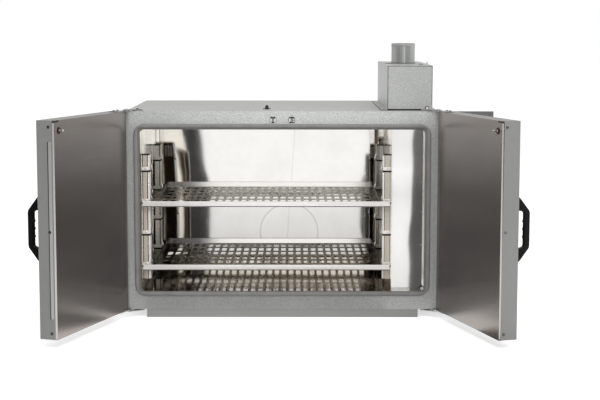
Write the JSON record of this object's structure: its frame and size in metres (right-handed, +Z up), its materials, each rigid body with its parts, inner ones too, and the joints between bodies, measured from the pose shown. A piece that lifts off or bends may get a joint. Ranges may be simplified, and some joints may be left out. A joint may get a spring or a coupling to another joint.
{
  "type": "drying oven",
  "caption": "Bench-top laboratory drying oven with hinged double doors, perforated sliding shelves, a side control and blower housing, and an exhaust duct with a flue pipe on top.",
  "frame": {"origin": "centre of the cabinet's footprint, at the underside of the base", "axes": "+Z up, the doors face -Y, +X to the right seen from the front, the control housing is on +X"},
  "size_m": [1.4239, 1.1247, 0.854],
  "materials": {
    "cabinet_paint": "fine hammered grey enamel",
    "panel_paint": "satin dark grey enamel",
    "insulation_wool": "mineral wool batt",
    "chamber_steel": "bright annealed stainless sheet",
    "rack_steel": "smooth stainless sheet",
    "door_panel_steel": "brushed stainless sheet",
    "gasket_silicone": "matt silicone rubber",
    "red_lens": "translucent red lens",
    "dark_steel": "dark machined and painted steel",
    "black_plastic": "moulded black plastic",
    "zinc_steel": "zinc-plated and bare steel sheet"
  },
  "bodies": {
    "cabinet": {"base_plinth": "cabinet_paint", "bottom_pan": "cabinet_paint", "outer_wrap": "cabinet_paint", "back_panel": "cabinet_paint", "front_frame": "cabinet_paint", "insulation_blanket": "insulation_wool", "chamber_liner": "chamber_steel", "door_gasket": "gasket_silicone", "duct_partition": "chamber_steel", "plenum_front_panel": "chamber_steel", "pilaster_front_left": "rack_steel", "pilaster_rear_left": "rack_steel", "pilaster_front_right": "rack_steel", "pilaster_rear_right": "rack_steel", "blower_motor": "dark_steel", "motor_bracket": "zinc_steel", "heater_element": "dark_steel", "temperature_probe": "zinc_steel", "side_housing": "cabinet_paint", "control_panel": "panel_paint", "temperature_controller": "black_plastic", "pilot_lamp": "red_lens", "overtemp_thermostat": "black_plastic", "power_switch_body": "black_plastic", "cable_gland": "black_plastic", "exhaust_duct": "cabinet_paint", "flue_pipe": "zinc_steel", "catch_left": "zinc_steel", "catch_right": "zinc_steel", "cabinet_hinge_leaf_top_left": "zinc_steel", "cabinet_hinge_leaf_top_right": "zinc_steel", "cabinet_hinge_leaf_bottom_left": "zinc_steel", "cabinet_hinge_leaf_bottom_right": "zinc_steel"},
    "left_door": {"door_shell_left": "cabinet_paint", "door_inner_panel_left": "door_panel_steel", "door_insulation_left": "insulation_wool", "door_handle_left": "black_plastic", "latch_strike_left": "zinc_steel", "door_hinge_leaf_top_left": "zinc_steel", "door_hinge_leaf_bottom_left": "zinc_steel", "door_seal_strip": "zinc_steel"},
    "right_door": {"door_shell_right": "cabinet_paint", "door_inner_panel_right": "door_panel_steel", "door_insulation_right": "insulation_wool", "door_handle_right": "black_plastic", "latch_strike_right": "zinc_steel", "door_hinge_leaf_top_right": "zinc_steel", "door_hinge_leaf_bottom_right": "zinc_steel"},
    "upper_shelf": {"upper_shelf": "rack_steel"},
    "lower_shelf": {"lower_shelf": "rack_steel"},
    "blower": {"blower_wheel": "zinc_steel", "blower_shaft": "dark_steel"},
    "knob": {"overtemp_knob": "black_plastic"},
    "rocker": {"power_switch_rocker": "red_lens"},
    "damper": {"damper_blade": "zinc_steel", "damper_spindle": "zinc_steel"},
    "roller_left": {"catch_roller_left": "dark_steel"},
    "roller_right": {"catch_roller_right": "dark_steel"},
    "port_plug": {"top_port_plug": "dark_steel"}
  },
  "joints": [
    {"name": "left_door_swing", "type": "hinge", "parent": "cabinet", "child": "left_door", "pos_m": [-0.482, -0.335, 0.337], "axis": [0, 0, -1], "range_deg": [-108.3, 66]},
    {"name": "right_door_swing", "type": "hinge", "parent": "cabinet", "child": "right_door", "pos_m": [0.482, -0.335, 0.337], "axis": [0, 0, 1], "range_deg": [-106.3, 18.5]},
    {"name": "upper_shelf_slide", "type": "slide", "parent": "cabinet", "child": "upper_shelf", "axis": [0, -1, 0], "range_m": [0, 0.45]},
    {"name": "lower_shelf_slide", "type": "slide", "parent": "cabinet", "child": "lower_shelf", "axis": [0, -1, 0], "range_m": [0, 0.45]},
    {"name": "blower_spin", "type": "hinge", "parent": "cabinet", "child": "blower", "pos_m": [0.45, 0, 0.337], "axis": [1, 0, 0], "continuous": true},
    {"name": "overtemp_knob_turn", "type": "hinge", "parent": "cabinet", "child": "knob", "pos_m": [0.57265, -0.308, 0.399], "axis": [0, 1, 0], "range_deg": [0, 270]},
    {"name": "power_rocker_tilt", "type": "hinge", "parent": "cabinet", "child": "rocker", "pos_m": [0.57265, -0.3035, 0.321], "axis": [-1, 0, 0], "range_deg": [0, 16]},
    {"name": "damper_turn", "type": "hinge", "parent": "cabinet", "child": "damper", "pos_m": [0.3935, -0.038, 0.756], "axis": [1, 0, 0], "range_deg": [0, 90]},
    {"name": "catch_roller_left_lift", "type": "slide", "parent": "cabinet", "child": "roller_left", "axis": [0, 0, 1], "range_m": [0, 0.0024], "stiffness_N_per_m": 600},
    {"name": "catch_roller_right_lift", "type": "slide", "parent": "cabinet", "child": "roller_right", "axis": [0, 0, 1], "range_m": [0, 0.0024], "stiffness_N_per_m": 600},
    {"name": "port_plug_lift", "type": "slide", "parent": "cabinet", "child": "port_plug", "axis": [0, 0, 1], "range_m": [0, 0.04]}
  ]
}
